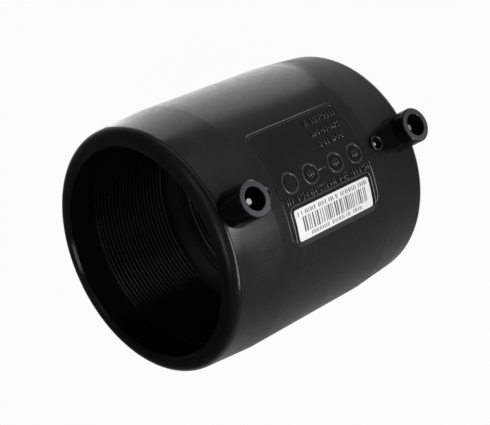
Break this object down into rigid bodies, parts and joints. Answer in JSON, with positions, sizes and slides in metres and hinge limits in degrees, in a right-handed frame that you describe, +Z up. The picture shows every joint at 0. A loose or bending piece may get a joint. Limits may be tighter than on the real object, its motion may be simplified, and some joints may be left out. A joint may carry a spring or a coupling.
{
  "type": "electrofusion coupler",
  "caption": "Moulded polyethylene sleeve that welds two pipe ends with a wire wound into its bore, fed through shrouded terminals beside fusion indicators.",
  "frame": {"origin": "sleeve axis where it meets the plane of the lower mouth, which the coupler stands on", "axes": "+Z up the sleeve axis to the upper mouth, -Y out of the two terminals and the marking panel"},
  "size_m": [0.1346, 0.1495, 0.149],
  "materials": {
    "black_polyethylene": "satin moulded",
    "wound_wire": "glossy sheath",
    "tinned_brass": "bright tinned",
    "indicator_plastic": "satin",
    "label_stock": "coated white"
  },
  "bodies": {
    "root": {"coupler_body": "black_polyethylene", "heating_coil": "wound_wire", "terminal_pin_lower": "tinned_brass", "terminal_pin_upper": "tinned_brass", "fusion_indicator_lower": "indicator_plastic", "fusion_indicator_upper": "indicator_plastic", "barcode_label": "label_stock"}
  },
  "joints": []
}
